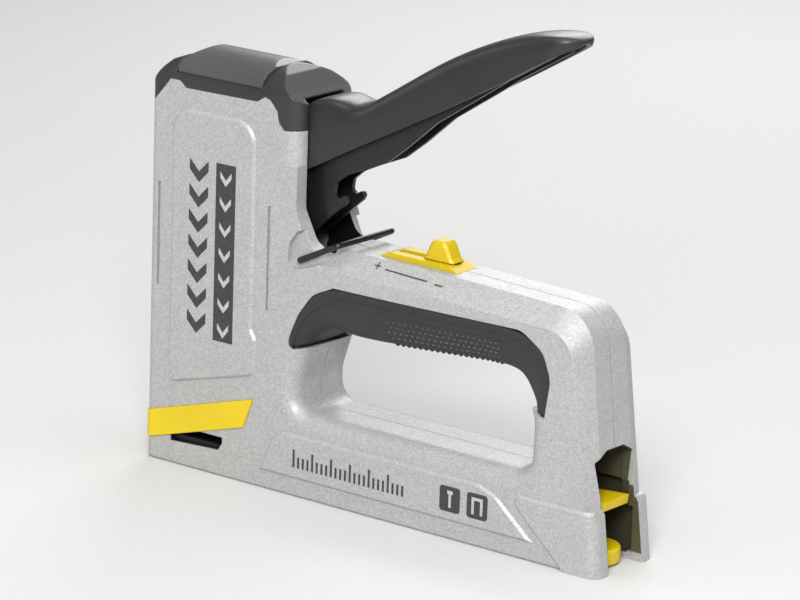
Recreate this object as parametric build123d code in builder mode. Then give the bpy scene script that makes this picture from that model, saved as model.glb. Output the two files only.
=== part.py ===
"""Hand tacker with a lift-up squeeze lever, built as separate pieces in millimetres.

Frame: +X runs from the nose to the magazine's pull end, +Z is up, and the seam between
the two casing halves is the plane Y = 0. The origin is the middle of the foot print.
"""
from build123d import *
import os
from math import cos, radians, sin

os.makedirs("parts", exist_ok=True)

# ---------------------------------------------------------------- driving dimensions (mm)
NOSE_X = -93.0            # front face of the metal nose
REAR_X = 93.5             # rearmost point of the foot
SIDE_Y = 15.0             # plain side walls, half width
PANEL_RISE = 0.9          # raised side panels stand this proud
FOOT_RISE = 1.0           # rear foot flare stands this proud
HEAD_REAR_X = -30.5       # rear face of the upright head
HANDLE_TOP_Z = 84.4
CREST_Y = 8.4             # half width of the handle's flat top
CAP_TOP_Z = 139.4
PAD_CROWN_Z = 140.2
HOLE_BOTTOM_Z = 28.2      # top of the base bar, inside the finger opening
HOLE_ROUND = 6.0          # rounding of the finger opening's rims
SEAM_GAP = 0.16           # half the visible gap between the casing halves

LEVER_PIVOT = (-36.0, 91.0)
LEVER_PIN_R = 2.5
FLANGE_Y = 5.25           # outer faces of the lever's steel flanges
FLANGE_T = 1.4
LIFT_TIP = (-60.0, 85.0)  # centre of the lift arm's rounded tip
LIFT_TIP_R = 2.6

BAIL_PIVOT = (-29.5, 79.2)
BAIL_WIRE_R = 1.0
BAIL_REACH = 17.8
BAIL_REST = 26.0          # degrees above the horizontal
BAIL_Y = 14.1             # wire centre of each leg

SPRING_X = -68.0          # main spring and hammer axis
STRIKER_X = -88.4
MAG_TOP_Z = 18.2
RAIL_Y = 4.2
SCREWS = [(-45.0, 117.0), (-31.5, 69.5), (-76.0, 31.0), (-14.0, 22.4), (56.0, 22.4), (76.0, 62.0)]
SCREW_R = 1.5
BOSS_R = 3.2


def save(block, label):
    """Labels a finished piece and writes its STEP file."""
    block.part.label = label
    export_step(block.part, f"parts/{label}.step")


def round_corners(sketch, radii):
    """Rounds the corners of an open sketch, given as {(x, z): radius}."""
    for at, radius in radii.items():
        fillet(sketch.vertices().sort_by_distance(at)[0], radius)


def xz_prism(points, half_width, mode=Mode.ADD, radius=0.0):
    """Prism of a side-view polygon, centred on the seam, with optional rounded corners."""
    with BuildSketch(Plane.XZ) as side:
        with BuildLine():
            Polyline(*points, close=True)
        make_face()
        if radius:
            fillet(side.vertices(), radius)
    extrude(side.sketch, amount=half_width, both=True, mode=mode)


def xz_plate(points, y_low, y_high, mode=Mode.ADD, radius=0.0):
    """Prism of a side-view polygon between two Y planes."""
    with BuildSketch(Plane.XZ.offset(-y_low)) as side:
        with BuildLine():
            Polyline(*points, close=True)
        make_face()
        if radius:
            fillet(side.vertices(), radius)
    extrude(side.sketch, amount=y_low - y_high, mode=mode)


def block(x, y, z, mode=Mode.ADD):
    """Box given by its (low, high) ranges in X, Y and Z."""
    with Locations(((x[0] + x[1]) / 2, (y[0] + y[1]) / 2, (z[0] + z[1]) / 2)):
        Box(x[1] - x[0], y[1] - y[0], z[1] - z[0], mode=mode)


def cross_pin(at, radius, half_length, mode=Mode.ADD):
    """Cylinder along Y, centred on the seam, at a side-view position."""
    with BuildSketch(Plane.XZ) as disc:
        with Locations(at):
            Circle(radius)
    extrude(disc.sketch, amount=half_length, both=True, mode=mode)


# ---------------------------------------------------------------- casing outer form
# Line where the metal head ends and the moulded cap begins, from the nose to the rear.
CAP_LINE = [
    (NOSE_X - 1, 122.3), (-91.3, 122.5), (-89.0, 124.8), (-84.3, 130.4), (-80.3, 130.4),
    (-77.6, 128.3), (-47.6, 128.7), (-44.4, 130.7), (-42.2, 130.0), (-39.2, 126.8),
    (-38.4, 123.2), (-36.2, 121.0), (HEAD_REAR_X + 1, 121.3),
]

with BuildSketch() as head_plan:
    with Locations(((NOSE_X + HEAD_REAR_X) / 2, 0)):
        Rectangle(HEAD_REAR_X - NOSE_X, 2 * SIDE_Y)
    fillet(head_plan.vertices().sort_by(Axis.X)[:2], 3.5)
    fillet(head_plan.vertices().sort_by(Axis.X)[-2:], 5.0)


def body_outline(plane, top_drop, rear_in, corner_r):
    """Side view of base, rear post and handle; the outer layer is drawn in from the crest."""
    with BuildSketch(plane) as outline:
        with BuildLine():
            Polyline(
                (-60, 0), (92.4 - rear_in, 0), (89.7 - rear_in, 20),
                (82.4 - rear_in, 82.0 - top_drop), (60, 82.8 - top_drop),
                (27, 83.9 - top_drop), (-20.5, HANDLE_TOP_Z - top_drop),
                (-25.3, 86.6 - 0.6 * top_drop), (HEAD_REAR_X, 95.5), (HEAD_REAR_X, 110),
                (-60, 110), close=True,
            )
        make_face()
        round_corners(outline, {
            (82.4 - rear_in, 82.0 - top_drop): corner_r, (HEAD_REAR_X, 95.5): 7,
            (-25.3, 86.6 - 0.6 * top_drop): 5, (-20.5, HANDLE_TOP_Z - top_drop): 3,
        })
    return outline


with BuildPart() as upper_body:
    core_outline = body_outline(Plane.XZ.offset(-CREST_Y), 0, 0, 13)
    extrude(core_outline.sketch, amount=2 * CREST_Y)
    for side in (1, -1):
        crest = body_outline(Plane.XZ.offset(side * CREST_Y), 0, 0, 13)
        flank = body_outline(Plane.XZ.offset(side * SIDE_Y), 6.2, 2.6, 11)
        loft(sections=[crest.sketch, flank.sketch], ruled=True)

# Finger opening at the seam, the lower arcs being bare metal and the top the grip's underside.
with BuildSketch(Plane.XZ) as hole_outline:
    with BuildLine():
        Polyline(
            (-29.8, HOLE_BOTTOM_Z), (64.3, HOLE_BOTTOM_Z), (64.3, 46), (58.3, 58.3), (48, 59.2),
            (-5, 55.4), (-11, 55.8), (-19, 56.8), (-26.4, 50.0), (-30.2, 38.0), close=True,
        )
    make_face()
    round_corners(hole_outline, {
        (-29.8, HOLE_BOTTOM_Z): 6, (64.3, HOLE_BOTTOM_Z): 6, (64.3, 46): 10, (58.3, 58.3): 5,
        (48, 59.2): 20, (-19, 56.8): 4, (-26.4, 50): 8, (-30.2, 38): 10,
    })

with BuildPart() as outer:
    extrude(head_plan.sketch, amount=133)
    xz_prism(CAP_LINE + [(HEAD_REAR_X + 1, 150), (NOSE_X - 1, 150)], 20, Mode.SUBTRACT)
    add(upper_body.part)
    extrude(hole_outline.sketch, amount=20, both=True, mode=Mode.SUBTRACT)
    rims = [
        e for e in outer.edges()
        if abs(abs(e.center().Y) - SIDE_Y) < 0.01 and -34 < e.center().X < 66
        and HOLE_BOTTOM_Z - 1 < e.center().Z < 60
    ]
    fillet(rims, HOLE_ROUND)
    sole = [e for e in outer.edges() if e.center().Z < 0.01 and abs(abs(e.center().Y) - SIDE_Y) < 0.01]
    chamfer(sole, 0.8)

# Side panels, built on one side and mirrored.
HEAD_PANEL = [
    (-83.0, 122.0), (-47.2, 122.0), (-47.2, 53.0), (-45.0, 49.5), (-46.2, 36.8), (-83.0, 27.4),
]
BASE_PANEL = [(-43.4, 6.0), (-38.2, 18.6), (-33.8, 21.6), (46.6, 21.6), (54.0, 18.8), (69.5, 6.0)]
FOOT_SIDE = [
    (62.4, 21.0), (90.0, 21.0), (91.0, 19.4), (REAR_X, 0), (79.5, 0), (78.0, 1.8), (63.4, 14.6),
    (60.4, 18.4),
]
PANEL_ROOT = 0.3          # the panels start this deep in the wall
PANEL_SLOPE = 45          # degrees from square, along their edges
with BuildPart() as panels:
    with BuildSketch(Plane.XZ.offset(SIDE_Y - PANEL_ROOT)) as head_face:
        with BuildLine():
            Polyline(*HEAD_PANEL, close=True)
        make_face()
        round_corners(head_face, {
            (-83.0, 122.0): 8, (-47.2, 122.0): 8, (-46.2, 36.8): 3, (-83.0, 27.4): 3,
        })
    extrude(head_face.sketch, amount=PANEL_ROOT + PANEL_RISE, taper=PANEL_SLOPE)
    with BuildSketch(Plane.XZ.offset(SIDE_Y - PANEL_ROOT)) as base_face:
        with BuildLine():
            Polyline(*BASE_PANEL, close=True)
        make_face()
        round_corners(base_face, {(54.0, 18.8): 8, (46.6, 21.6): 8, (-33.8, 21.6): 4, (-38.2, 18.6): 4})
    extrude(base_face.sketch, amount=PANEL_ROOT + PANEL_RISE, taper=PANEL_SLOPE)
    mirror(about=Plane.XZ)

with BuildPart() as foot:
    xz_prism(FOOT_SIDE, SIDE_Y + FOOT_RISE)
    foot_corners = [e for e in foot.edges().filter_by(Axis.Y, reverse=True) if e.center().X > 88]
    fillet([e for e in foot_corners if abs(e.center().Y) > 15 and e.length > 10], 4.0)
    flare = [e for e in foot.edges() if abs(abs(e.center().Y) - SIDE_Y - FOOT_RISE) < 0.01]
    chamfer([e for e in flare if 0.5 < e.center().Z and e.center().X < 88], 0.9)

# ---------------------------------------------------------------- rubber handle grip space
GRIP_EDGE = [
    (-32.6, 48.8), (-32.2, 53.0), (-28.6, 61.5), (-22.8, 69.2), (-14.4, 73.0), (12.0, 73.2),
    (60.5, 74.0), (69.2, 68.6), (72.4, 60.2), (70.6, 47.4), (62.0, 49.0), (40.0, 50.0), (-20.0, 51.5),
]
GRIP_CORE = [
    (-37, 54.4), (-29.6, 54.4), (-25.0, 60.4), (-18.5, 62.4), (-6.0, 60.6), (48.0, 64.2),
    (58.6, 62.6), (68.4, 50.6), (76.0, 48.8), (76.0, 75.4), (-37.0, 75.4),
]
GRIP_CORE_Y = 11.2

with BuildPart() as grip_space:
    with BuildSketch(Plane.XZ) as grip_side:
        with BuildLine():
            Polyline(*GRIP_EDGE, close=True)
        make_face()
        round_corners(grip_side, {
            (-22.8, 69.2): 9, (-28.6, 61.5): 12, (60.5, 74.0): 8, (69.2, 68.6): 8, (72.4, 60.2): 10,
            (-32.6, 48.8): 2,
        })
    extrude(grip_side.sketch, amount=20, both=True)

with BuildPart() as grip_core:
    xz_prism(GRIP_CORE, GRIP_CORE_Y)

with BuildPart() as handle_grip:
    add(outer.part)
    add(grip_space.part, mode=Mode.INTERSECT)
    add(grip_core.part, mode=Mode.SUBTRACT)
save(handle_grip, "handle_grip")

# ---------------------------------------------------------------- nose band
BAND_SIDE = [(-95.0, 15.6), (-46.2, 29.4), (-50.2, 19.0), (-95.0, 6.2)]
BAND_OUT = 0.5
BAND_IN = 1.0
with BuildSketch() as band_out:
    offset(head_plan.sketch, amount=BAND_OUT)
with BuildSketch() as band_in:
    offset(head_plan.sketch, amount=-BAND_IN)
with BuildPart() as nose_band:
    extrude(band_out.sketch, amount=40)
    extrude(band_in.sketch, amount=40, mode=Mode.SUBTRACT)
    xz_prism(BAND_SIDE, 20, Mode.INTERSECT)
save(nose_band, "nose_band")

# ---------------------------------------------------------------- casing halves
WINDOW = [(-81.8, 7.8), (-81.8, 9.9), (-68.8, 13.5), (-59.3, 13.5), (-59.2, 11.5), (-61.0, 8.8)]
VENTS_X = (-88.4, -41.6)
TRACK_X = (-3.4, 27.6)
TRACK_Y = 5.2
POCKET_Y = 9.8
CAVITY_Y = 12.4
BAIL_RECESS = [
    (-33.4, 77.6), (-33.2, 84.4), (-29.8, 88.8), (-25.0, 91.0), (-9.0, 91.0), (-10.6, 83.6),
    (-15.5, 81.2), (-24.0, 78.2), (-30.2, 76.2),
]

with BuildPart() as casing:
    add(outer.part)
    add(grip_space.part, mode=Mode.SUBTRACT)
    with BuildPart(mode=Mode.PRIVATE) as metal_core:
        add(grip_core.part)
        extrude(hole_outline.sketch, amount=20, both=True, mode=Mode.SUBTRACT)
    add(metal_core.part)
    add(panels.part)
    add(foot.part)
    add(nose_band.part, mode=Mode.SUBTRACT)
    # hollow head, handle, rear post and base
    block((-90.6, -36.6), (-12.8, 12.8), (22, 140), Mode.SUBTRACT)
    xz_prism([(-37, 65.0), (-20, 65.4), (-6, 63.2), (48, 66.8), (66, 64.6), (66, 79.6), (27, 81.4),
              (-37, 81.8)], 9.0, Mode.SUBTRACT)
    xz_prism([(69.8, 18), (69.8, 73), (73.5, 73), (78.4, 66), (83.4, 42), (84.2, 18)], 10.0, Mode.SUBTRACT)
    block((-86.0, 89.0), (-CAVITY_Y, CAVITY_Y), (2.4, 17.6), Mode.SUBTRACT)
    block((-86.0, 84.4), (-CAVITY_Y, CAVITY_Y), (17.6, 25.4), Mode.SUBTRACT)
    block((-86.5, 95.0), (-9.2, 9.2), (-1, 3), Mode.SUBTRACT)
    block((-90.6, -86.0), (-6.4, 6.4), (-1, 24), Mode.SUBTRACT)
    # open rear end of the magazine well
    with BuildSketch(Plane.YZ.offset(76)) as rear_mouth:
        with BuildLine():
            Polyline((-8.9, -1), (-8.9, 24), (-10.2, 35.6), (-4.6, 38.6), (4.6, 38.6), (10.2, 35.6),
                     (8.9, 24), (8.9, -1), close=True)
        make_face()
    extrude(rear_mouth.sketch, amount=20, mode=Mode.SUBTRACT)
    # lever pocket, window slots, side grooves and the recess round each bail pivot
    block((-38.2, -18.0), (-POCKET_Y, POCKET_Y), (80, 140), Mode.SUBTRACT)
    xz_prism(WINDOW, 20, Mode.SUBTRACT)
    for groove_x in VENTS_X:
        for y in ((-16, -SIDE_Y + 1.1), (SIDE_Y - 1.1, 16)):
            block((groove_x - 0.55, groove_x + 0.55), y, (60.4, 95.2), Mode.SUBTRACT)
    xz_plate(BAIL_RECESS, -16, -BAIL_Y + 1.2, Mode.SUBTRACT, 1.8)
    xz_plate(BAIL_RECESS, BAIL_Y - 1.2, 16, Mode.SUBTRACT, 1.8)
    # power track seat and slot
    block(TRACK_X, (-TRACK_Y, TRACK_Y), (82.2, 90), Mode.SUBTRACT)
    block((TRACK_X[0] + 2, TRACK_X[1] - 2), (-4.2, 4.2), (78, 84), Mode.SUBTRACT)
    # hammer guide ribs, bumper shelves and staple channel rails
    for side in (-1, 1):
        ribs_y = sorted((side * 7.7, side * 13.0))
        block((-85, -81), ribs_y, (64, 112))
        block((-58, -54.5), ribs_y, (64, 112))
        block((-85, -54.5), sorted((side * 5.5, side * 13.0)), (52, 56))
        block((-84, 58), sorted((side * 6.9, side * 12.8)), (8, 10))
    for at in SCREWS:
        cross_pin(at, BOSS_R, 13.5)
    cross_pin(LEVER_PIVOT, LEVER_PIN_R, 13.4, Mode.SUBTRACT)
    cross_pin(BAIL_PIVOT, BAIL_WIRE_R + 0.05, 16, Mode.SUBTRACT)
    for at in SCREWS:
        cross_pin(at, SCREW_R, 11, Mode.SUBTRACT)
for name, side in (("left_shell", 1), ("right_shell", -1)):
    with BuildPart() as shell_half:
        add(casing.part)
        keep = Keep.TOP if side > 0 else Keep.BOTTOM
        split(bisect_by=Plane.XZ.offset(side * SEAM_GAP), keep=keep)
        if side < 0:
            for at in SCREWS:
                with BuildSketch(Plane.XZ.offset(-12.2)) as head_seat:
                    with Locations(at):
                        Circle(3.0)
                extrude(head_seat.sketch, amount=-4, mode=Mode.SUBTRACT)
                with BuildSketch(Plane.XZ.offset(-10)) as through:
                    with Locations(at):
                        Circle(SCREW_R)
                extrude(through.sketch, amount=-6, mode=Mode.SUBTRACT)
    save(shell_half, name)

with BuildPart() as shell_screws:
    for at in SCREWS:
        with BuildSketch(Plane.XZ.offset(10.8)) as shank:
            with Locations(at):
                Circle(SCREW_R)
        extrude(shank.sketch, amount=-(10.8 + 12.2))
        with BuildSketch(Plane.XZ.offset(-12.2)) as head:
            with Locations(at):
                Circle(2.8)
        extrude(head.sketch, amount=-1.9)
        with BuildSketch(Plane.XZ.offset(-14.1)) as recess:
            with Locations(at):
                RegularPolygon(1.3, 6)
        extrude(recess.sketch, amount=1.1, mode=Mode.SUBTRACT)
save(shell_screws, "shell_screws")

# ---------------------------------------------------------------- moulded cap and glossy pad
PAD_X = (-82.4, -45.8)
PAD_SEAT_Z = 132.9
CAP_SIDE = [
    (NOSE_X - 1, 126.2), (-91.4, 129.6), (-85.6, 136.4), (-78.5, CAP_TOP_Z), (-45.0, CAP_TOP_Z),
    (-40.5, 137.6), (-34.5, 132.8), (HEAD_REAR_X + 1, 129.0), (HEAD_REAR_X + 1, 110), (NOSE_X - 1, 110),
]
CAP_SHOULDER = 3.2        # the crown stands this far above the cap's sloped shoulders


def crown_section(low_z, rise):
    """Front view of the cap: upright flanks, sloped shoulders and a crowned top."""
    shoulder_z = CAP_TOP_Z - CAP_SHOULDER + rise
    with BuildSketch(Plane.YZ) as section:
        with BuildLine():
            Polyline((-12.2, shoulder_z), (-14.4, 134.0 + rise), (-15.0, 132.4), (-15.0, low_z))
            Polyline((-15.0, low_z), (15.0, low_z), (15.0, 132.4), (14.4, 134.0 + rise))
            Line((14.4, 134.0 + rise), (12.2, shoulder_z))
            ThreePointArc((12.2, shoulder_z), (0, CAP_TOP_Z + rise), (-12.2, shoulder_z))
        make_face()
    return section


# The cap closes round the lever's head, which only moves away from it.
LEVER_CLEARANCE = [
    (-37.4, 100), (-37.4, 122.6), (-36.6, 126.6), (-34.6, 129.6), (-31.9, 131.6), (-27.0, 134.2),
    (-20, 136), (-20, 100),
]

with BuildPart() as top_cap:
    extrude(head_plan.sketch, amount=140)
    xz_prism(CAP_SIDE, 20, Mode.INTERSECT)
    xz_prism(CAP_LINE + [(HEAD_REAR_X + 1, 100), (NOSE_X - 1, 100)], 20, Mode.SUBTRACT)
    extrude(crown_section(100, 0).sketch, amount=100, both=True, mode=Mode.INTERSECT)
    block(PAD_X, (-20, 20), (PAD_SEAT_Z, 150), Mode.SUBTRACT)
    xz_prism(LEVER_CLEARANCE, POCKET_Y, Mode.SUBTRACT)
    block((-89, -41), (-12.4, 12.4), (118, 130.6), Mode.SUBTRACT)
save(top_cap, "top_cap")

with BuildPart() as top_pad:
    PAD_SIDE = [
        (PAD_X[0] + 0.4, PAD_SEAT_Z), (PAD_X[0] + 0.6, 137.2), (-78.0, PAD_CROWN_Z), (-49.4, PAD_CROWN_Z),
        (PAD_X[1] - 0.6, 139.0), (PAD_X[1] - 0.4, PAD_SEAT_Z),
    ]
    xz_prism(PAD_SIDE, 14.3)
    extrude(crown_section(100, PAD_CROWN_Z - CAP_TOP_Z).sketch, amount=100, both=True, mode=Mode.INTERSECT)
save(top_pad, "top_pad")

# ---------------------------------------------------------------- lever
LX, LZ = LEVER_PIVOT
FLANGE_SIDE = [
    (-41.8, 89.6), (-41.4, 95.0), (-36.2, 101.0), (-35.4, 127.0), (-29.0, 129.6), (-20.0, 129.6),
    (-13.0, 129.2), (7.0, 139.6), (31.0, 153.4), (50.0, 160.6), (62.0, 162.6), (62.0, 159.2),
    (44.2, 148.6), (32.9, 141.0), (17.6, 131.0), (6.1, 121.0), (-1.7, 114.9), (-11.7, 110.7),
    (-18.4, 107.6), (-22.2, 104.4), (-22.7, 100.9), (-21.0, 99.6), (-18.6, 101.2), (-17.4, 99.8),
    (-18.2, 98.2), (-25.6, 91.8), (-30.0, 87.2), (-35.0, 85.2), (-39.6, 86.2),
]
GRIP_LINE = [(-36.9, 105.2), (-31.0, 108.0), (-13.9, 117.2), (5.9, 127.4), (25.3, 137.7), (44.2, 148.2),
             (61.0, 158.1), (66.4, 161.2), (70.6, 162.9)]
GRIP_Y = 9.4
GRIP_X = (-36.9, 71.2)

with BuildPart() as lever_frame:
    with BuildSketch(Plane.XZ) as flange:
        with BuildLine():
            Polyline(*FLANGE_SIDE, close=True)
        make_face()
        round_corners(flange, {
            (-41.8, 89.6): 2.5, (-39.6, 86.2): 2, (-41.4, 95): 3, (-22.7, 100.9): 0.9, (-21.0, 99.6): 0.7,
            (-18.6, 101.2): 0.8, (-17.4, 99.8): 0.8, (-18.2, 98.2): 0.7, (-22.2, 104.4): 2,
            (-18.4, 107.6): 4, (-25.6, 91.8): 2, (-30, 87.2): 4,
        })
    extrude(flange.sketch, amount=FLANGE_Y, both=True)
    inner = FLANGE_Y - FLANGE_T
    # the channel is open below and at the rear: only its front and top webs join the flanges
    xz_prism([(-50, 70), (-50, 101.5), (-34.4, 101.5), (-33.8, 125.4), (-28.5, 128.0), (-20, 128.2),
              (-12.6, 127.6), (7.6, 138.2), (31.6, 151.9), (50.4, 159.0), (70, 161.4), (70, 70)],
             inner, Mode.SUBTRACT)
    cross_pin(LEVER_PIVOT, LEVER_PIN_R + 0.06, 10, Mode.SUBTRACT)
save(lever_frame, "lever_frame")

with BuildPart() as lever_grip:
    with BuildSketch(Plane.XZ) as grip_face:
        with BuildLine():
            Polyline(*GRIP_LINE)
            Spline((70.6, 162.9), (71.4, 164.6), (68.6, 166.7), (59.6, 166.6), (44.5, 162.9), (29.3, 156.5),
                   (6.2, 142.8), (-10.7, 132.6))
            Spline((-10.7, 132.6), (-14.7, 131.6), (-20.0, 133.0), (-26.0, 133.0), (-31.6, 130.4),
                   (-35.6, 126.4), (-36.9, 122.0), tangents=[(-1.0, -0.55), (-0.15, -1.0)])
            Line((-36.9, 122.0), (-36.9, 105.2))
        make_face()
    extrude(grip_face.sketch, amount=GRIP_Y, both=True)
    with BuildSketch(Plane.XY) as grip_plan:
        with Locations(((GRIP_X[0] + GRIP_X[1]) / 2, 0)):
            Rectangle(GRIP_X[1] - GRIP_X[0], 2 * GRIP_Y)
        fillet(grip_plan.vertices().sort_by(Axis.X)[:2], 5.0)
        fillet(grip_plan.vertices().sort_by(Axis.X)[-2:], 7.0)
    extrude(grip_plan.sketch, amount=200, mode=Mode.INTERSECT)
    xz_prism(FLANGE_SIDE, FLANGE_Y, Mode.SUBTRACT)
save(lever_grip, "lever_grip")

with BuildPart() as lift_arm:
    cross_pin(LEVER_PIVOT, 5.2, FLANGE_Y - FLANGE_T)
    with BuildSketch(Plane.XZ) as arm_side:
        with BuildLine():
            Polyline(
                (LX, LZ + 4.6), (LIFT_TIP[0], LIFT_TIP[1] + LIFT_TIP_R),
                (LIFT_TIP[0], LIFT_TIP[1] - LIFT_TIP_R), (LX, LZ - 4.8), close=True,
            )
        make_face()
    extrude(arm_side.sketch, amount=2.4, both=True)
    cross_pin(LIFT_TIP, LIFT_TIP_R, 2.4)
    cross_pin(LEVER_PIVOT, LEVER_PIN_R + 0.06, 10, Mode.SUBTRACT)
save(lift_arm, "lift_arm")

with BuildPart() as lever_pin:
    cross_pin(LEVER_PIVOT, LEVER_PIN_R, 13.4)
save(lever_pin, "lever_pin")


def coil(radius, wire_r, pitch, height, start, direction):
    """Round-wire coil spring wound from a point along a direction."""
    with BuildPart() as spring:
        with BuildLine() as path:
            Helix(pitch=pitch, height=height, radius=radius, center=start, direction=direction)
        with BuildSketch(Plane(origin=path.line @ 0, z_dir=path.line % 0)) as wire:
            Circle(wire_r)
        sweep(wire.sketch, path=path.line)
    return spring


RETURN_WIRE = 0.6
return_coil = coil(3.6, RETURN_WIRE, 1.35, 2.9, (LX, -FLANGE_Y - 0.8, LZ), (0, -1, 0))
with BuildPart() as lever_spring:
    add(return_coil.part)
save(lever_spring, "lever_spring")

# ---------------------------------------------------------------- hammer, striker and main spring
HAMMER_FOOT_Z = 64.0
HAMMER_TOP_Z = 93.0
HAMMER_Y = 7.5
SPRING_TOP_Z = 126.2
SPRING_WIRE = 1.3
with BuildPart() as hammer:
    block((STRIKER_X + 0.6, -53.0), (-HAMMER_Y, HAMMER_Y), (HAMMER_FOOT_Z, HAMMER_TOP_Z))
    # the slot flares to the rear, because the arm tilts while its tip lifts the hammer
    slot_low = LIFT_TIP[1] - LIFT_TIP_R - 0.4
    slot_high = LIFT_TIP[1] + LIFT_TIP_R + 0.4
    xz_prism([(-65, slot_low), (-65, slot_high), (-60, slot_high), (-52, 91.4), (-52, 78.6),
              (-60, slot_low)],
             3.0, Mode.SUBTRACT)
    with BuildSketch(Plane.XY.offset(HAMMER_TOP_Z)) as spigot:
        with Locations((SPRING_X, 0)):
            Circle(5.6)
    extrude(spigot.sketch, amount=7)
    chamfer(hammer.faces().sort_by(Axis.Z)[-1].edges(), 1.2)
save(hammer, "hammer")

with BuildPart() as striker_blade:
    block((STRIKER_X - 0.6, STRIKER_X + 0.6), (-5.6, 5.6), (0.8, HAMMER_TOP_Z - 2))
save(striker_blade, "striker_blade")

main_coil = coil(8.6, SPRING_WIRE, 5.05, SPRING_TOP_Z - HAMMER_TOP_Z - 2 * SPRING_WIRE - 0.4,
                 (SPRING_X, 0, HAMMER_TOP_Z + SPRING_WIRE + 0.2), (0, 0, 1))
with BuildPart() as main_spring:
    add(main_coil.part)
save(main_spring, "main_spring")

with BuildPart() as spring_seat:
    with BuildSketch(Plane.XY.offset(SPRING_TOP_Z)) as seat_disc:
        with Locations((SPRING_X, 0)):
            Circle(11.2)
    extrude(seat_disc.sketch, amount=130.6 - SPRING_TOP_Z)
    with BuildSketch(Plane.XY.offset(SPRING_TOP_Z)) as seat_peg:
        with Locations((SPRING_X, 0)):
            Circle(5.6)
    extrude(seat_peg.sketch, amount=-5)
save(spring_seat, "spring_seat")

with BuildPart() as bumper:
    block((-84.6, -55.0), (-10.5, 10.5), (56.0, HAMMER_FOOT_Z - 0.3))
    with BuildSketch(Plane.XY.offset(50)) as relief:
        with Locations((SPRING_X, 0)):
            Circle(5.0)
    extrude(relief.sketch, amount=20, mode=Mode.SUBTRACT)
    fillet(bumper.edges().filter_by(Axis.Z).sort_by(Axis.X)[:2], 1.0)
save(bumper, "bumper")

with BuildPart() as striker_guide:
    block((-90.6, STRIKER_X - 0.75), (-6.3, 6.3), (0.6, 21.5))
save(striker_guide, "striker_guide")

# ---------------------------------------------------------------- staple channel and staples
CHANNEL_X = (-85.9, 58.0)
with BuildPart() as staple_channel:
    block(CHANNEL_X, (-6.85, 6.85), (2.0, 14.4))
    block((CHANNEL_X[0] - 1, CHANNEL_X[1] + 1), (-5.9, 5.9), (1, 13.5), Mode.SUBTRACT)
save(staple_channel, "staple_channel")

PUSHER_X = (-36.0, -24.0)
with BuildPart() as staples:
    block((-87.4, PUSHER_X[0] - 0.05), (-5.3, 5.3), (2.8, 12.75))
    block((-90, -30), (-4.8, 4.8), (1, 12.2), Mode.SUBTRACT)
save(staples, "staples")

# ---------------------------------------------------------------- sliding magazine
RAIL_X = (-85.6, 72.6)
ROD_Z = 7.0
with BuildPart() as magazine_rail:
    block(RAIL_X, (-4.4, 4.4), (0.9, 11.9))
    block((RAIL_X[0] + 3, RAIL_X[1] + 1), (-3.5, 3.5), (1.9, 13), Mode.SUBTRACT)
    with BuildSketch(Plane.YZ.offset(RAIL_X[0] - 1)) as rod_hole:
        with Locations((0, ROD_Z)):
            Circle(1.2)
    extrude(rod_hole.sketch, amount=8, mode=Mode.SUBTRACT)
save(magazine_rail, "magazine_rail")

with BuildPart() as guide_rod:
    with BuildSketch(Plane.YZ.offset(RAIL_X[0])) as rod_section:
        with Locations((0, ROD_Z)):
            Circle(1.2)
    extrude(rod_section.sketch, amount=64 - RAIL_X[0])
save(guide_rod, "guide_rod")

with BuildPart() as pusher:
    block(PUSHER_X, (-5.3, 5.3), (4.0, 13.1))
    block((PUSHER_X[0] - 1, PUSHER_X[1] + 1), (-4.6, 4.6), (1, 12.1), Mode.SUBTRACT)
    block(PUSHER_X, (-3.3, 3.3), (2.2, 12.5))
    with BuildSketch(Plane.YZ.offset(PUSHER_X[0] - 1)) as pusher_bore:
        with Locations((0, ROD_Z)):
            Circle(1.26)
    extrude(pusher_bore.sketch, amount=20, mode=Mode.SUBTRACT)
save(pusher, "pusher")

feed_coil = coil(2.4, 0.4, 3.6, 62.0 - PUSHER_X[1] - 1.0, (PUSHER_X[1] + 0.5, 0, ROD_Z), (1, 0, 0))
with BuildPart() as pusher_spring:
    add(feed_coil.part)
save(pusher_spring, "pusher_spring")

LATCH_AT = (68.0, 16.6)
KNOB_X = 81.2
KNOB_R = 8.4
with BuildPart() as thumb_pad:
    with BuildSketch(Plane.XY.offset(0.5)) as thumb_disc:
        with Locations((KNOB_X, 0)):
            Circle(KNOB_R)
    extrude(thumb_disc.sketch, amount=5.2)
    fillet(thumb_pad.edges(), 0.9)
with BuildPart() as pull_knob:
    block((62.0, 74.0), (-3.5, 3.5), (1.9, 11.9))
    block((64.5, 76.0), (-5.8, 5.8), (11.9, 13.4))
    block((64.5, 71.5), (-5.8, -4.0), (13.4, 18.8))
    block((64.5, 71.5), (4.0, 5.8), (13.4, 18.8))
    block((74.0, 78.0), (-5.8, 5.8), (0.6, 13.4))
    add(thumb_pad.part)
    with BuildSketch(Plane.YZ.offset(60)) as rod_socket:
        with Locations((0, ROD_Z)):
            Circle(1.2)
    extrude(rod_socket.sketch, amount=4, mode=Mode.SUBTRACT)
    cross_pin(LATCH_AT, 1.2, 8, Mode.SUBTRACT)
save(pull_knob, "pull_knob")

with BuildPart() as latch_pin:
    cross_pin(LATCH_AT, 1.2, 5.8)
save(latch_pin, "latch_pin")

with BuildPart() as latch_tab:
    cross_pin(LATCH_AT, 2.6, 3.7)
    xz_prism([(61.2, 17.4), (61.2, 20.4), (66, 20.6), (73, 20.9), (80, 20.6), (80, 18.2), (73, 17.6)], 3.7)
    block((59.4, 61.4), (-6.4, 6.4), (17.2, 20.4))
    xz_prism([(74.0, 18.3), (88.2, 19.0), (88.6, 22.0), (74.0, 21.0)], 7.2)
    cross_pin(LATCH_AT, 1.26, 8, Mode.SUBTRACT)
save(latch_tab, "latch_tab")

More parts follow.
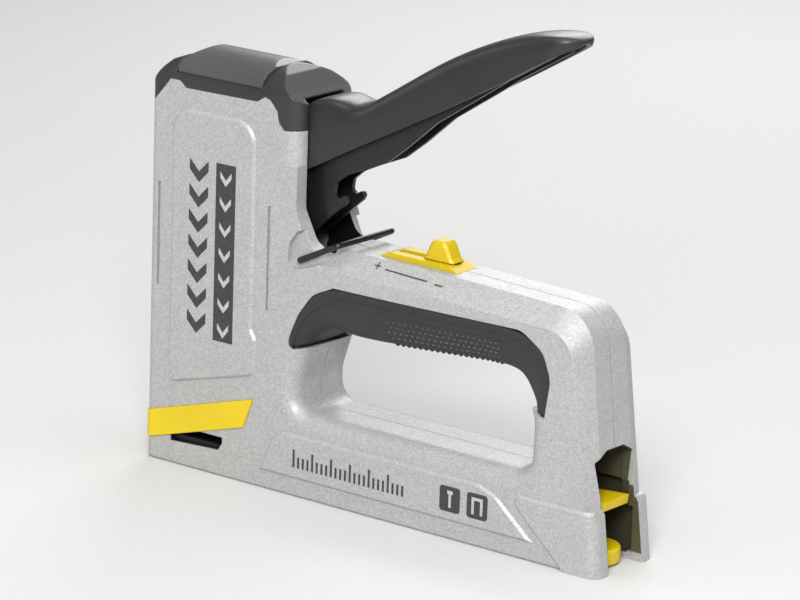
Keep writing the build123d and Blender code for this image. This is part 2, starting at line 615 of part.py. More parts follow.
# ---------------------------------------------------------------- power selector
SLIT_X = (1.0, 24.1)
with BuildPart() as slider_track:
    track_low_x, track_high_x = TRACK_X[0] + 0.1, TRACK_X[1] - 0.1
    xz_prism([
        (track_low_x, 82.2), (track_low_x, 84.4), (0.6, 85.8), (23.6, 85.7), (track_high_x, 83.9),
        (track_high_x, 82.2),
    ], TRACK_Y - 0.1)
    block((TRACK_X[0] + 2.1, TRACK_X[1] - 2.1), (-4.1, 4.1), (80.4, 82.2))
    block(SLIT_X, (-1.6, 1.6), (79, 90), Mode.SUBTRACT)
save(slider_track, "slider_track")

SLIDER_Y = 3.3
with BuildPart() as power_slider:
    xz_prism([(12.0, 86.0), (13.2, 87.4), (14.8, 91.2), (16.0, 92.4), (20.2, 92.4), (21.4, 91.2),
              (23.2, 87.4), (24.4, 86.0)], SLIDER_Y)
    knob_edges = [e for e in power_slider.edges() if abs(abs(e.center().Y) - SLIDER_Y) < 0.01]
    chamfer([e for e in knob_edges if e.center().Z > 86.5], 0.9)
    block((15.6, 20.8), (-1.4, 1.4), (79.0, 87.0))
    block((12.0, 24.4), (-3.9, 3.9), (76.2, 80.2))
    block((10.0, 13.0), (-1.2, 1.2), (77.0, 79.4))
save(power_slider, "power_slider")

with BuildPart() as adjuster_rod:
    with BuildSketch(Plane.YZ.offset(10.0)) as adjuster_section:
        with Locations((0, 78.2)):
            Rectangle(2.4, 2.4)
    extrude(adjuster_section.sketch, amount=-38)
save(adjuster_rod, "adjuster_rod")

# ---------------------------------------------------------------- wire bail that locks the lever
bar_x = BAIL_PIVOT[0] + BAIL_REACH * cos(radians(BAIL_REST))
bar_z = BAIL_PIVOT[1] + BAIL_REACH * sin(radians(BAIL_REST))
BAIL_IN = 10.9
with BuildPart() as lock_bail:
    with BuildLine() as bail_path:
        FilletPolyline(
            (BAIL_PIVOT[0], -BAIL_IN, BAIL_PIVOT[1]), (BAIL_PIVOT[0], -BAIL_Y, BAIL_PIVOT[1]),
            (bar_x, -BAIL_Y, bar_z), (bar_x, BAIL_Y, bar_z),
            (BAIL_PIVOT[0], BAIL_Y, BAIL_PIVOT[1]), (BAIL_PIVOT[0], BAIL_IN, BAIL_PIVOT[1]), radius=1.15,
        )
    with BuildSketch(Plane(origin=bail_path.line @ 0, z_dir=bail_path.line % 0)) as bail_wire:
        Circle(BAIL_WIRE_R)
    sweep(bail_wire.sketch, path=bail_path.line)
save(lock_bail, "lock_bail")
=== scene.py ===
import math
from functools import partial

import bmesh
import bpy
from mathutils import Matrix, Vector


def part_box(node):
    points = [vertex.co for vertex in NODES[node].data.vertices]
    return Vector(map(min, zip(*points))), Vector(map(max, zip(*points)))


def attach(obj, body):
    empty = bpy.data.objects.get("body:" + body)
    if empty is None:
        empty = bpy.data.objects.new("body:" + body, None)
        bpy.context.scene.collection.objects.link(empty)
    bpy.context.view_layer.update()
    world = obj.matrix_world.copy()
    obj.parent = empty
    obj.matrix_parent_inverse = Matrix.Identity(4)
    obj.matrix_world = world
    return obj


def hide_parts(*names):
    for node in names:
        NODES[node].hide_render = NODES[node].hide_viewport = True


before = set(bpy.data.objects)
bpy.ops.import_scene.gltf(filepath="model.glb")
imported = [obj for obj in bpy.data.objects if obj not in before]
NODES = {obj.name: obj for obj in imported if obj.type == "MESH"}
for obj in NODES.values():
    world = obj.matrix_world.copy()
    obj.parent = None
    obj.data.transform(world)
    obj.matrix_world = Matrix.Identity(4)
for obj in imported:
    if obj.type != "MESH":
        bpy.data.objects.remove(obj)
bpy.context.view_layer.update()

MM = 0.001


# --------------------------------------------------------------------------------------
# Small tools


def linear(hex_colour):
    """An sRGB colour such as "C8C8C6" as linear red, green, blue and full alpha."""
    values = [int(hex_colour[i : i + 2], 16) / 255 for i in (0, 2, 4)]
    return tuple(v / 12.92 if v <= 0.04045 else ((v + 0.055) / 1.055) ** 2.4 for v in values) + (1.0,)


def add(material, kind, inputs=None, ramp=(), **settings):
    """Adds one node with its settings. Each input is another node's output or a plain value."""
    tree = material.node_tree
    node = tree.nodes.new(kind)
    for name, value in settings.items():
        setattr(node, name, value)
    for name, value in (inputs or {}).items():
        if isinstance(value, bpy.types.NodeSocket):
            tree.links.new(value, node.inputs[name])
        else:
            node.inputs[name].default_value = value
    for stop, (position, hex_colour) in enumerate(ramp):
        node.color_ramp.elements[stop].position = position
        node.color_ramp.elements[stop].color = linear(hex_colour)
    return node


def per_mm(size):
    """Texture scale that makes one repeat of a pattern the given number of millimetres."""
    return 1 / (size * MM)


def new_finish(name):
    """An empty node material, with the object's own coordinates ready to use."""
    material = bpy.data.materials.new(name)
    material.use_nodes = True
    material.node_tree.nodes.clear()
    place = add(material, "ShaderNodeTexCoord").outputs["Object"]
    return material, place


def finish_off(material, surface):
    """Adds the shader with the given inputs and joins it to the material's surface."""
    shader = add(material, "ShaderNodeBsdfPrincipled", surface)
    add(material, "ShaderNodeOutputMaterial", {"Surface": shader.outputs[0]})
    return material


# --------------------------------------------------------------------------------------
# Finishes


# Inside faces of the casting: colour, then the ranges of X, Y and Z in mm. Bare metal gone dull in
# # the magazine well, where the spray never reached, made darker further in as painted shade. The
# # pocket and the window are painted near black as painted shade.
BARE_METAL_AND_PAINTED_SHADE = [
    ("55523F", (58, 120), (-8.95, 8.95), (1, 25.6)),
    ("55523F", (69.6, 120), (-8.95, 8.95), (25.6, 35.4)),
    ("55523F", (69.6, 86.6), (-10.25, 10.25), (24, 38.7)),
    # The same bare metal, darker further into the well: painted shade.
    ("3F3D31", (58, 87.2), (-12.5, 12.5), (2, 25.6)),
    # The pocket where the lever goes into the head: painted shade, near black.
    ("121212", (-39, -17.9), (-9.9, 9.9), (70, 128)),
    # The window by the nose: painted shade, near black.
    ("1A1A1A", (-84, -56), (-14.3, 14.3), (3, 20)),
]


def silver_paint():
    """Zinc-aluminium die casting under silver metallic paint.

    The flakes show as a fine light and dark speckle. The film is satin, with a faint orange peel.
    """
    material, place = new_finish("silver_metallic_paint")
    # Real flakes are about 0.1 mm. They are drawn at 0.4 mm so that the speckle shows.
    flake = add(material, "ShaderNodeTexVoronoi", {"Vector": place, "Scale": per_mm(0.4)})
    flake_tone = add(material, "ShaderNodeSeparateColor", {"Color": flake.outputs["Color"]})
    mottle = add(material, "ShaderNodeTexNoise", {"Vector": place, "Scale": per_mm(16), "Detail": 3.0})
    tone = add(
        material,
        "ShaderNodeMix",
        {"Factor": 0.25, 2: flake_tone.outputs[0], 3: mottle.outputs["Fac"]},
        data_type="FLOAT",
    ).outputs[0]
    ramp = [(0.05, "9E9E9D"), (0.95, "BEBEBC")]
    film = add(material, "ShaderNodeValToRGB", {"Fac": tone}, ramp=ramp).outputs["Color"]
    axes = add(material, "ShaderNodeSeparateXYZ", {"Vector": place}).outputs
    # Lays the bare metal and the painted shade of the deep well, the pocket and the window over the paint.
    for hex_colour, *ranges in BARE_METAL_AND_PAINTED_SHADE:
        mask = 1.0
        for axis, (low, high) in zip(axes, ranges):
            span = {0: axis, 1: (low + high) / 2 * MM, 2: (high - low) / 2 * MM}
            within = add(material, "ShaderNodeMath", span, operation="COMPARE").outputs[0]
            mask = add(material, "ShaderNodeMath", {0: mask, 1: within}, operation="MULTIPLY").outputs[0]
        layers = {"Factor": mask, 6: film, 7: linear(hex_colour)}
        film = add(material, "ShaderNodeMix", layers, data_type="RGBA").outputs[2]
    gloss = add(material, "ShaderNodeMapRange", {"Value": tone, "To Min": 0.52, "To Max": 0.38})
    edge = add(material, "ShaderNodeBevel", {"Radius": 0.35 * MM}, samples=6)
    peel = add(material, "ShaderNodeTexNoise", {"Vector": place, "Scale": per_mm(0.9), "Detail": 4.0})
    relief = {
        "Height": peel.outputs["Fac"],
        "Strength": 0.6,
        "Distance": 0.04 * MM,
        "Normal": edge.outputs[0],
    }
    surface = {
        "Base Color": film,
        "Metallic": 0.2,
        "Roughness": gloss.outputs[0],
        "Normal": add(material, "ShaderNodeBump", relief).outputs[0],
    }
    return finish_off(material, surface)


def moulded_plastic(name, colours, roughness, grain_mm=0.7, depth_mm=0.03, round_mm=0.5, coat=0.0):
    """Injection-moulded plastic from a spark-eroded tool: an even fine grain and a soft sheen.

    The tool's own edges are eased by round_mm, and a coat stands for a polished part of the tool.
    """
    material, place = new_finish(name)
    grain = add(material, "ShaderNodeTexNoise", {"Vector": place, "Scale": per_mm(grain_mm), "Detail": 3.0})
    flow = add(material, "ShaderNodeTexNoise", {"Vector": place, "Scale": per_mm(18), "Detail": 2.0})
    ramp = [(0.3, colours[0]), (0.7, colours[1])]
    sheen = {"Value": grain.outputs["Fac"], "To Min": roughness - 0.06, "To Max": roughness + 0.06}
    edge = add(material, "ShaderNodeBevel", {"Radius": round_mm * MM}, samples=6)
    relief = {
        "Height": grain.outputs["Fac"],
        "Strength": 0.6,
        "Distance": depth_mm * MM,
        "Normal": edge.outputs[0],
    }
    colour = add(material, "ShaderNodeValToRGB", {"Fac": flow.outputs["Fac"]}, ramp=ramp)
    surface = {
        "Base Color": colour.outputs[0],
        "Roughness": add(material, "ShaderNodeMapRange", sheen).outputs[0],
        "IOR": 1.5,
        "Coat Weight": coat,
        "Coat Roughness": 0.22,
        "Normal": add(material, "ShaderNodeBump", relief).outputs[0],
    }
    return finish_off(material, surface)


def soft_rubber():
    """Thermoplastic rubber moulded over the handle: matt, nearly black, with a dry sheen."""
    material, place = new_finish("grip_rubber_matt")
    grain = add(material, "ShaderNodeTexNoise", {"Vector": place, "Scale": per_mm(0.5), "Detail": 4.0})
    grain = grain.outputs["Fac"]
    ramp = [(0.3, "1E1E1F"), (0.7, "2C2C2D")]
    sheen = {"Value": grain, "To Min": 0.4, "To Max": 0.54}
    relief = {"Height": grain, "Strength": 0.7, "Distance": 0.04 * MM}
    surface = {
        "Base Color": add(material, "ShaderNodeValToRGB", {"Fac": grain}, ramp=ramp).outputs[0],
        "Roughness": add(material, "ShaderNodeMapRange", sheen).outputs[0],
        "IOR": 1.52,
        "Normal": add(material, "ShaderNodeBump", relief).outputs[0],
    }
    return finish_off(material, surface)


def black_lacquer():
    """Pressed steel sheet under black lacquer: smooth, half gloss, with faint rolling waves."""
    material, place = new_finish("black_lacquered_steel")
    wave = add(material, "ShaderNodeTexNoise", {"Vector": place, "Scale": per_mm(2.5), "Detail": 3.0})
    wave = wave.outputs["Fac"]
    ramp = [(0.3, "151516"), (0.7, "1E1E1F")]
    sheen = {"Value": wave, "To Min": 0.32, "To Max": 0.44}
    edge = add(material, "ShaderNodeBevel", {"Radius": 0.35 * MM}, samples=6)
    relief = {"Height": wave, "Strength": 0.5, "Distance": 0.04 * MM, "Normal": edge.outputs[0]}
    surface = {
        "Base Color": add(material, "ShaderNodeValToRGB", {"Fac": wave}, ramp=ramp).outputs[0],
        "Roughness": add(material, "ShaderNodeMapRange", sheen).outputs[0],
        "IOR": 1.5,
        "Normal": add(material, "ShaderNodeBump", relief).outputs[0],
    }
    return finish_off(material, surface)


def print_ink(name, colours):
    """Pad-printed ink on the paint: flat, and broken by the grain of the paint below."""
    material, place = new_finish(name)
    grain = add(material, "ShaderNodeTexNoise", {"Vector": place, "Scale": per_mm(0.6), "Detail": 3.0})
    grain = grain.outputs["Fac"]
    ramp = [(0.3, colours[0]), (0.75, colours[1])]
    sheen = {"Value": grain, "To Min": 0.5, "To Max": 0.65}
    surface = {
        "Base Color": add(material, "ShaderNodeValToRGB", {"Fac": grain}, ramp=ramp).outputs[0],
        "Roughness": add(material, "ShaderNodeMapRange", sheen).outputs[0],
    }
    return finish_off(material, surface)


def plain_steel(name, colours, roughness):
    """Bare or plated steel: metallic, with fine drawing lines that run along the piece."""
    material, place = new_finish(name)
    pitches = [per_mm(0.25), per_mm(0.25), per_mm(6)]
    stretch = add(material, "ShaderNodeVectorMath", {0: place, 1: pitches}, operation="MULTIPLY")
    lines = add(material, "ShaderNodeTexNoise", {"Vector": stretch.outputs[0], "Scale": 1.0, "Detail": 3.0})
    lines = lines.outputs["Fac"]
    ramp = [(0.3, colours[0]), (0.7, colours[1])]
    sheen = {"Value": lines, "To Min": roughness[0], "To Max": roughness[1]}
    relief = {"Height": lines, "Strength": 0.4, "Distance": 0.01 * MM}
    surface = {
        "Base Color": add(material, "ShaderNodeValToRGB", {"Fac": lines}, ramp=ramp).outputs[0],
        "Metallic": 1.0,
        "Roughness": add(material, "ShaderNodeMapRange", sheen).outputs[0],
        "Normal": add(material, "ShaderNodeBump", relief).outputs[0],
    }
    return finish_off(material, surface)


PAINT = silver_paint()
# Glass-filled nylon, charcoal: an even fine grain with a soft, broad sheen.
CAP_PLASTIC = moulded_plastic("cap_nylon_charcoal", ("28292A", "313233"), 0.34, round_mm=1.0)
# ABS from a smoother tool: greyer than the cap round it, and half polished.
PAD_PLASTIC = moulded_plastic("pad_abs_grey", ("434446", "4B4C4E"), 0.34, 1.2, 0.01, 0.8, coat=0.4)
# The lever's nylon is a shade darker than the cap's.
LEVER_PLASTIC = moulded_plastic("lever_nylon_charcoal", ("222324", "292A2B"), 0.36)
# ABS coloured through: an even, strong yellow with a faint grain.
YELLOW = moulded_plastic("yellow_abs", ("D6BA00", "E0C400"), 0.4, 0.9, 0.015)
# Acetal for the parts that slide: the same yellow, a little deeper and waxier.
AMBER = moulded_plastic("yellow_acetal", ("C6AB00", "D0B500"), 0.4, 0.9, 0.015)
RUBBER = soft_rubber()
LACQUER = black_lacquer()
INK = print_ink("printed_ink_dark", ("2A2A2A", "444444"))
PALE_INK = print_ink("printed_ink_pale", ("A9A9A8", "BFBFBE"))
# Bright zinc plate: pale grey, with a soft metallic shine.
ZINC = plain_steel("zinc_plated_steel", ("8C8D8E", "B4B5B6"), (0.3, 0.42))
# Chemically blackened steel: dark, with the metal's shine still showing.
DARK_STEEL = plain_steel("blackened_steel", ("303133", "505155"), (0.3, 0.42))
# Hard-drawn spring wire under a film of oil.
SPRING = plain_steel("oiled_spring_wire", ("55575A", "7C7E80"), (0.26, 0.38))

WEAR = {
    "left_shell": PAINT,
    "right_shell": PAINT,
    "shell_screws": DARK_STEEL,
    "top_cap": CAP_PLASTIC,
    "top_pad": PAD_PLASTIC,
    "nose_band": YELLOW,
    "handle_grip": RUBBER,
    "slider_track": AMBER,
    "lever_pin": ZINC,
    "lever_spring": SPRING,
    "spring_seat": CAP_PLASTIC,
    "bumper": RUBBER,
    "striker_guide": ZINC,
    "staple_channel": DARK_STEEL,
    "staples": ZINC,
    "main_spring": SPRING,
    "lever_frame": LACQUER,
    "lever_grip": LEVER_PLASTIC,
    "lift_arm": DARK_STEEL,
    "hammer": ZINC,
    "striker_blade": SPRING,
    "lock_bail": DARK_STEEL,
    "power_slider": AMBER,
    "adjuster_rod": ZINC,
    "magazine_rail": ZINC,
    "guide_rod": ZINC,
    "pull_knob": YELLOW,
    "latch_pin": ZINC,
    "pusher_spring": SPRING,
    "latch_tab": YELLOW,
    "pusher": CAP_PLASTIC,
}


def paint_nodes():
    """Gives every piece of the frame its finish."""
    for name, material in WEAR.items():
        mesh = NODES[name].data
        mesh.materials.clear()
        mesh.materials.append(material)


# --------------------------------------------------------------------------------------
# Pieces built here


def new_piece(name, mesh_maker, finish, body, smooth=True):
    """A finished mesh object that rides on a body of the frame."""
    grid = bmesh.new()
    mesh_maker(grid)
    bmesh.ops.recalc_face_normals(grid, faces=grid.faces)
    mesh = bpy.data.meshes.new(name)
    grid.to_mesh(mesh)
    grid.free()
    mesh.materials.append(finish)
    for face in mesh.polygons:
        face.use_smooth = smooth
    piece = bpy.data.objects.new(name, mesh)
    bpy.context.scene.collection.objects.link(piece)
    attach(piece, body)
    return piece


def saddle_rows(stations, half_widths, profiles):
    """Rows of points that cross the seam from one flank, over the ridge, to the other.

    Each station is a pair of side-view points, one on the flank's edge and one on the ridge. Its
    profile gives (share of the half width, share of the way from edge to ridge).
    """
    rows = []
    for (edge, ridge), half, profile in zip(stations, half_widths, profiles):
        near = []
        for across, along in profile:
            spot = Vector(edge).lerp(Vector(ridge), along)
            near.append(Vector((spot.x, -half * across, spot.y)) * MM)
        far = [Vector((spot.x, -spot.y, spot.z)) for spot in reversed(near[:-1])]
        rows.append(near + far)
    return rows


def skin(grid, rows):
    """Joins rows of points into one sheet of faces."""
    made = [[grid.verts.new(spot) for spot in row] for row in rows]
    for low, high in zip(made, made[1:]):
        for index in range(len(low) - 1):
            grid.faces.new((low[index], low[index + 1], high[index + 1], high[index]))


SMOOTH_LEVELS = 2


def thicken_and_smooth(piece, thickness_mm):
    """Gives a sheet its wall thickness, inwards, and then rounds it."""
    wall = piece.modifiers.new("wall", "SOLIDIFY")
    wall.thickness = thickness_mm * MM
    wall.offset = -1
    wall.use_even_offset = True
    soft = piece.modifiers.new("soft", "SUBSURF")
    soft.levels = SMOOTH_LEVELS
    soft.render_levels = SMOOTH_LEVELS


# Side-view stations of the lever's moulded grip: (parting line, ridge), from the front foot over
# the thumb bulge to the tip.
LEVER_STATIONS = [
    ((-36.8, 105.2), (-36.8, 105.9)), ((-36.0, 105.7), (-36.8, 111.0)), ((-34.6, 106.4), (-36.8, 117.8)),
    ((-32.6, 107.3), (-36.6, 124.0)), ((-30.2, 108.5), (-34.2, 128.6)), ((-26.8, 110.3), (-29.4, 131.7)),
    ((-22.8, 112.4), (-23.0, 133.0)), ((-18.4, 114.8), (-17.2, 132.1)), ((-13.9, 117.2), (-12.8, 131.6)),
    ((-8.5, 120.0), (-8.6, 133.6)), ((-2.0, 123.4), (-3.0, 137.2)), ((5.9, 127.4), (4.6, 141.9)),
    ((15.6, 132.6), (13.8, 147.9)), ((25.3, 137.7), (23.5, 153.6)), ((34.7, 143.0), (33.2, 158.2)),
    ((44.2, 148.2), (43.0, 162.2)), ((52.6, 153.2), (52.0, 165.0)), ((60.0, 157.5), (60.4, 166.4)),
    ((65.4, 160.6), (66.6, 166.5)), ((69.0, 162.3), (70.0, 165.5)), ((70.6, 163.2), (71.0, 164.2)),
]
LEVER_PROFILE = [
    (1.0, 0.0), (1.0, 0.03), (1.0, 0.3), (0.995, 0.58), (0.95, 0.8), (0.82, 0.93), (0.5, 0.985), (0.0, 1.0),
]
# The front, where the lever fills its slot in the cap, is squarer than the rest.
LEVER_FRONT_PROFILE = [
    (1.0, 0.0), (1.0, 0.03), (1.0, 0.4), (1.0, 0.72), (0.985, 0.9), (0.9, 0.985), (0.55, 1.0), (0.0, 1.0),
]
LEVER_FRONT_TO = -22.0
LEVER_WALL = 1.8
# The tip is rounded in plan from here on, as far as the end of the frame's own grip. A power of 2
# would make it an ellipse; a little more makes it blunter.
LEVER_TIP_FROM = 60.0
LEVER_TIP_POWER = 2.6


def lever_cover():
    """The hood-shaped nylon grip that is clipped over the lever's steel channel."""
    low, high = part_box("lever_grip")
    half = high.y / MM
    tip = high.x / MM
    widths = []
    for edge, ridge in LEVER_STATIONS:
        past = max(0.0, (ridge[0] - LEVER_TIP_FROM) / (tip - LEVER_TIP_FROM))
        widths.append(half * math.sqrt(max(0.0, 1 - min(past, 1.0) ** LEVER_TIP_POWER)))
    profiles = [
        LEVER_FRONT_PROFILE if ridge[0] < LEVER_FRONT_TO else LEVER_PROFILE
        for edge, ridge in LEVER_STATIONS
    ]
    rows = saddle_rows(LEVER_STATIONS, widths, profiles)
    piece = new_piece("lever_cover", lambda grid: skin(grid, rows), LEVER_PLASTIC, "lever")
    thicken_and_smooth(piece, LEVER_WALL)
    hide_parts("lever_grip")


# Side-view stations of the handle's rubber: (edge on the side wall, underside at the seam).
GRIP_STATIONS = [
    ((-32.4, 49.3), (-26.6, 50.6)), ((-32.0, 54.0), (-25.3, 52.2)), ((-30.4, 58.6), (-23.6, 53.9)),
    ((-28.0, 63.2), (-21.6, 55.4)), ((-24.8, 67.2), (-19.2, 56.3)), ((-20.4, 70.8), (-16.4, 56.4)),
    ((-14.4, 72.8), (-12.4, 56.0)), ((-6.0, 73.1), (-6.0, 55.6)), ((6.0, 73.2), (6.0, 56.2)),
    ((20.0, 73.4), (20.0, 57.2)), ((34.0, 73.6), (34.0, 58.2)), ((46.0, 73.8), (45.0, 59.0)),
    ((55.0, 73.8), (52.0, 58.9)), ((61.6, 72.9), (57.0, 58.0)), ((66.8, 70.2), (59.6, 55.6)),
    ((70.2, 66.4), (61.4, 52.6)), ((71.8, 61.4), (63.0, 50.2)), ((71.8, 56.0), (63.8, 48.9)),
    ((71.2, 51.4), (64.2, 48.2)), ((70.6, 47.8), (64.3, 47.9)),
]
GRIP_PROFILE = [
    (0.985, 0.0), (0.985, 0.02), (0.985, 0.17), (0.998, 0.19), (1.0, 0.22), (1.0, 0.27), (0.995, 0.3),
    (0.95, 0.32), (0.925, 0.42), (0.885, 0.6), (0.81, 0.78), (0.68, 0.9), (0.45, 0.97), (0.0, 1.0),
]
GRIP_WALL = 2.2


def handle_rubber():
    """The soft grip round the top of the finger opening, with its raised bead along each side."""
    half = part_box("handle_grip")[1].y / MM
    widths = [half] * len(GRIP_STATIONS)
    rows = saddle_rows(GRIP_STATIONS, widths, [GRIP_PROFILE] * len(GRIP_STATIONS))
    piece = new_piece("handle_rubber", lambda grid: skin(grid, rows), RUBBER, "casing")
    thicken_and_smooth(piece, GRIP_WALL)
    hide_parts("handle_grip")


KNURL_PITCH = 2.3
KNURL_RISE = 0.5
KNURL_ROOT = 0.3
# Half the length and half the width of a stud, as shares of the pitch and of the length.
KNURL_REACH = 0.46
KNURL_WIDTH = 0.7
KNURL_ROWS = 9
# The rows lie between these shares of the grip's profile.
KNURL_FROM = 0.62
KNURL_SPAN = 0.37


def knurl_studs():
    """Rows of small diamond studs moulded on the grip's underside, where the fingers curl."""
    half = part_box("handle_grip")[1].y / MM
    stations = [pair for pair in GRIP_STATIONS if 4 < pair[0][0] < 58]
    low_x = stations[0][0][0]
    high_x = stations[-1][0][0]

    def underside(x, share):
        """Point on the rubber at a length along the grip and a share of its profile, in mm."""
        for (edge_a, ridge_a), (edge_b, ridge_b) in zip(stations, stations[1:]):
            if edge_a[0] <= x <= edge_b[0]:
                part = (x - edge_a[0]) / (edge_b[0] - edge_a[0])
                edge = Vector(edge_a).lerp(Vector(edge_b), part)
                ridge = Vector(ridge_a).lerp(Vector(ridge_b), part)
        place = share * (len(GRIP_PROFILE) - 1)
        index = min(int(place), len(GRIP_PROFILE) - 2)
        across = Vector(GRIP_PROFILE[index]).lerp(Vector(GRIP_PROFILE[index + 1]), place - index)
        spot = edge.lerp(ridge, across.y)
        return Vector((spot.x, -half * across.x, spot.y))

    def studs(grid):
        columns = int((high_x - low_x - 2) / KNURL_PITCH)
        for row in range(KNURL_ROWS):
            share = KNURL_FROM + KNURL_SPAN * row / (KNURL_ROWS - 1)
            for column in range(columns):
                x = low_x + 1.2 + (column + 0.5 * (row % 2)) * KNURL_PITCH
                middle = underside(x, share)
                along = (underside(x + 0.4, share) - underside(x - 0.4, share)).normalized()
                lower = underside(x, min(share + 0.02, 1.0))
                down = (lower - underside(x, share - 0.02)).normalized()
                out = down.cross(along).normalized()
                out = out if out.z < 0 else -out
                reach = KNURL_PITCH * KNURL_REACH
                width = reach * KNURL_WIDTH
                corners = [middle + along * reach, middle + down * width]
                corners += [middle - along * reach, middle - down * width]
                spots = [corner - out * KNURL_ROOT for corner in corners] + [middle + out * KNURL_RISE]
                for side in (1, -1):
                    made = [grid.verts.new(Vector((s.x, side * s.y, s.z)) * MM) for s in spots]
                    for index in range(4):
                        grid.faces.new((made[index], made[(index + 1) % 4], made[4]))

    piece = new_piece("grip_studs", studs, RUBBER, "casing", smooth=False)


def plates(grid, outlines, face_y, lift):
    """Thin flat figures on both side walls, each given as side-view points in mm."""
    for side in (-1, 1):
        for outline in outlines:
            out_y = side * (face_y + lift)
            face = grid.faces.new([grid.verts.new(Vector((x, out_y, z)) * MM) for x, z in outline])
            foot = bmesh.ops.extrude_face_region(grid, geom=[face])["geom"]
            for part in foot:
                if isinstance(part, bmesh.types.BMVert):
                    part.co.y -= side * (lift + 0.1) * MM


def bar(x, z):
    """A plain rectangle from its ranges in X and Z."""
    return [(x[0], z[0]), (x[1], z[0]), (x[1], z[1]), (x[0], z[1])]


def rounded_bar(x, z, radius):
    """A rectangle with rounded corners."""
    outline = []
    centres = [(x[1] - radius, z[1] - radius, 0), (x[0] + radius, z[1] - radius, 90)]
    centres += [(x[0] + radius, z[0] + radius, 180), (x[1] - radius, z[0] + radius, 270)]
    for cx, cz, start in centres:
        for step in range(6):
            angle = math.radians(start + 18 * step)
            outline.append((cx + radius * math.cos(angle), cz + radius * math.sin(angle)))
    return outline


def chevron(x, z, weight):
    """A downward arrow stroke that fills the given ranges."""
    middle = (x[0] + x[1]) / 2
    return [
        (x[0], z[1]), (x[0], z[1] - weight), (middle, z[0]), (x[1], z[1] - weight), (x[1], z[1]),
        (middle, z[0] + weight),
    ]


# The raised panels of the head and the base stand this far out, and ink lies on them.
PANEL_FACE_Y = 15.9
INK_LIFT = 0.05
PALE_LIFT = 0.08


def printed_marks():
    """Plain printed figures: firing arrows, a length scale and the two fastener signs."""
    dark_head = [bar((-63.4, -55.1), (46.3, 106.0))]
    light_head = []
    for index in range(7):
        foot = 47.2 + index * 8.5
        dark_head.append(chevron((-74.7, -66.7), (foot, foot + 7.6), 3.6))
        light_head.append(chevron((-61.6, -56.9), (foot + 0.4, foot + 5.2), 2.0))
    dark_base = [
        rounded_bar((31.9, 40.0), (9.6, 18.0), 1.2),
        rounded_bar((42.7, 50.9), (9.6, 18.0), 1.2),
    ]
    for index in range(24):
        left = -28.4 + index * 1.95
        dark_base.append(bar((left, left + 0.85), (10.4, 16.4 if index % 4 == 0 else 14.0)))
    nail = [(34.9, 16.6), (34.9, 15.5), (35.5, 15.5), (35.5, 11.0), (36.5, 11.0), (36.5, 15.5)]
    nail += [(37.1, 15.5), (37.1, 16.6)]
    staple = [(44.6, 11.0), (45.6, 11.0), (45.6, 15.6), (48.0, 15.6), (48.0, 11.0), (49.0, 11.0)]
    staple += [(49.0, 16.6), (44.6, 16.6)]
    prints = [
        ("head_print", dark_head, INK_LIFT, INK),
        ("base_print", dark_base, INK_LIFT, INK),
        ("head_print_gaps", light_head, PALE_LIFT, PALE_INK),
        ("base_print_gaps", [nail, staple], PALE_LIFT, PALE_INK),
    ]
    for name, outlines, lift, ink in prints:
        maker = partial(plates, outlines=outlines, face_y=PANEL_FACE_Y, lift=lift)
        new_piece(name, maker, ink, "casing", smooth=False)


# The handle's sloped shoulder, from the crest's edge down to the flank, as (Y, Z) in mm.
CREST_EDGE = Vector((8.4, 84.2))
FLANK_EDGE = Vector((15.0, 78.0))
STROKE_HALF = 0.22
STROKE_LIFT = 0.06
# Behind this length the shoulder falls away slowly, and the strokes follow it.
FALL_FROM = 20
FALL_RATE = 0.4 / 80


def power_marks():
    """The engraved plus, line and minus on the handle's sloped shoulders, beside the slider,
    drawn as flat dark strips that stand for the grooves as painted shade.
    """
    slope = (FLANK_EDGE - CREST_EDGE).normalized()
    strokes = [
        ((-1.3, 2.7), (1.3, 2.7)), ((0.0, 1.3), (0.0, 4.1)),
        ((3.2, 3.4), (20.6, 4.2)), ((23.8, 4.6), (27.0, 4.7)),
    ]

    def grooves(grid):
        for side in (-1, 1):
            for start, end in strokes:
                run = (Vector(end) - Vector(start)).normalized()
                wide = Vector((-run.y, run.x)) * STROKE_HALF
                outline = []
                for spot in (start, end):
                    for turn in (1, -1):
                        outline.append(Vector(spot) + wide * (turn if spot is start else -turn))
                corners = []
                for x, down in outline:
                    drop = CREST_EDGE + slope * down
                    lift = STROKE_LIFT - FALL_RATE * max(0.0, x - FALL_FROM)
                    corner = Vector((x, side * (drop.x + lift), drop.y + lift)) * MM
                    corners.append(grid.verts.new(corner))
                grid.faces.new(corners)

    # Dark strips where the grooves are: painted shade in the engraved marks.
    new_piece("power_groove_shade", grooves, INK, "casing", smooth=False)


# --------------------------------------------------------------------------------------
# Camera, floor and light


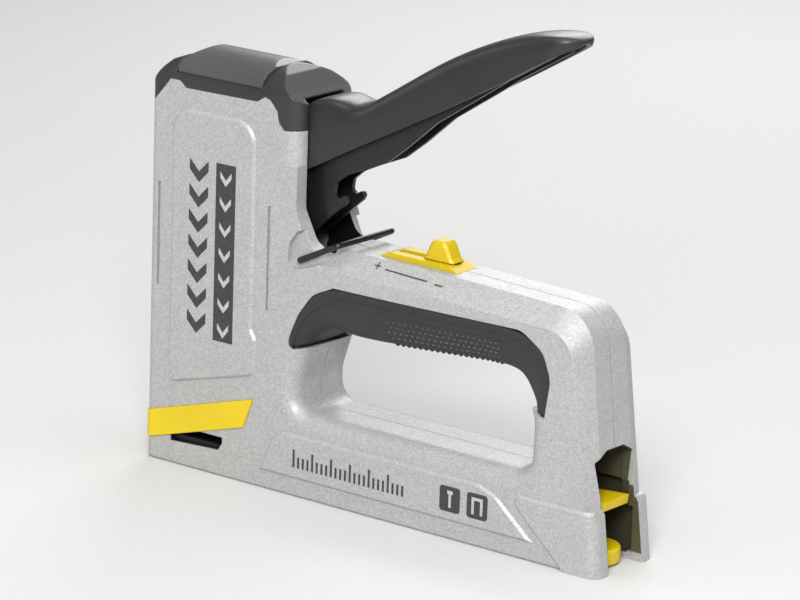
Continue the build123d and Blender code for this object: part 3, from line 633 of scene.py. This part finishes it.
def set_camera():
    """A long lens from the front left, a little above the object."""
    azimuth = math.radians(37.64)
    elevation = math.radians(15.32)
    roll = math.radians(1.91)
    aim = Vector((1.2, 0, 69.3)) * MM
    distance = 1418 * MM
    back = Vector(
        (
            math.sin(azimuth) * math.cos(elevation),
            -math.cos(azimuth) * math.cos(elevation),
            math.sin(elevation),
        )
    )
    level = Vector((math.cos(azimuth), math.sin(azimuth), 0))
    upright = back.cross(level)
    across = level * math.cos(roll) + upright * math.sin(roll)
    upward = upright * math.cos(roll) - level * math.sin(roll)
    data = bpy.data.cameras.new("camera")
    data.lens = 199.3
    data.sensor_width = 36
    data.clip_start = 0.05
    data.clip_end = 20
    camera = bpy.data.objects.new("camera", data)
    bpy.context.scene.collection.objects.link(camera)
    turn = Matrix((across, upward, back)).transposed().to_4x4()
    camera.matrix_world = Matrix.Translation(aim + back * distance) @ turn
    bpy.context.scene.camera = camera


def softbox(name, place, aim, width, height, power):
    """A white rectangular studio light."""
    data = bpy.data.lights.new(name, "AREA")
    data.shape = "RECTANGLE"
    data.size = width
    data.size_y = height
    data.energy = power
    light = bpy.data.objects.new(name, data)
    bpy.context.scene.collection.objects.link(light)
    light.location = place
    light.rotation_euler = (Vector(place) - Vector(aim)).to_track_quat("Z", "Y").to_euler()


def set_stage():
    """A pale floor that runs out of sight, a pale surround and soft lights."""
    mesh = bpy.data.meshes.new("floor")
    grid = bmesh.new()
    bmesh.ops.create_grid(grid, x_segments=8, y_segments=8, size=4.0)
    grid.to_mesh(mesh)
    grid.free()
    floor = bpy.data.objects.new("floor", mesh)
    bpy.context.scene.collection.objects.link(floor)
    material, place = new_finish("floor_paper")
    fibre = add(material, "ShaderNodeTexNoise", {"Vector": place, "Scale": per_mm(4), "Detail": 3.0})
    ramp = [(0.0, "CBCBCA"), (1.0, "D0D0CF")]
    paper = add(material, "ShaderNodeValToRGB", {"Fac": fibre.outputs["Fac"]}, ramp=ramp)
    mesh.materials.append(finish_off(material, {"Base Color": paper.outputs[0], "Roughness": 0.9}))

    world = bpy.data.worlds.new("surround")
    bpy.context.scene.world = world
    world.use_nodes = True
    sky = world.node_tree.nodes["Background"]
    sky.inputs["Color"].default_value = linear("F4F5F6")
    sky.inputs["Strength"].default_value = 0.3

    aim = (0, 0, 0.07)
    softbox("top_light", (0.15, -0.1, 1.1), aim, 1.4, 1.0, 9)
    softbox("key_light", (0.6, -0.9, 0.75), aim, 0.4, 0.4, 15)
    softbox("front_light", (-1.0, -0.5, 0.4), aim, 0.4, 0.6, 1.2)
    softbox("back_light", (-0.4, 0.9, 0.6), aim, 0.6, 0.4, 4.5)


set_camera()
set_stage()
paint_nodes()
lever_cover()
handle_rubber()
knurl_studs()
printed_marks()
power_marks()
bpy.context.scene.view_settings.view_transform = "Standard"
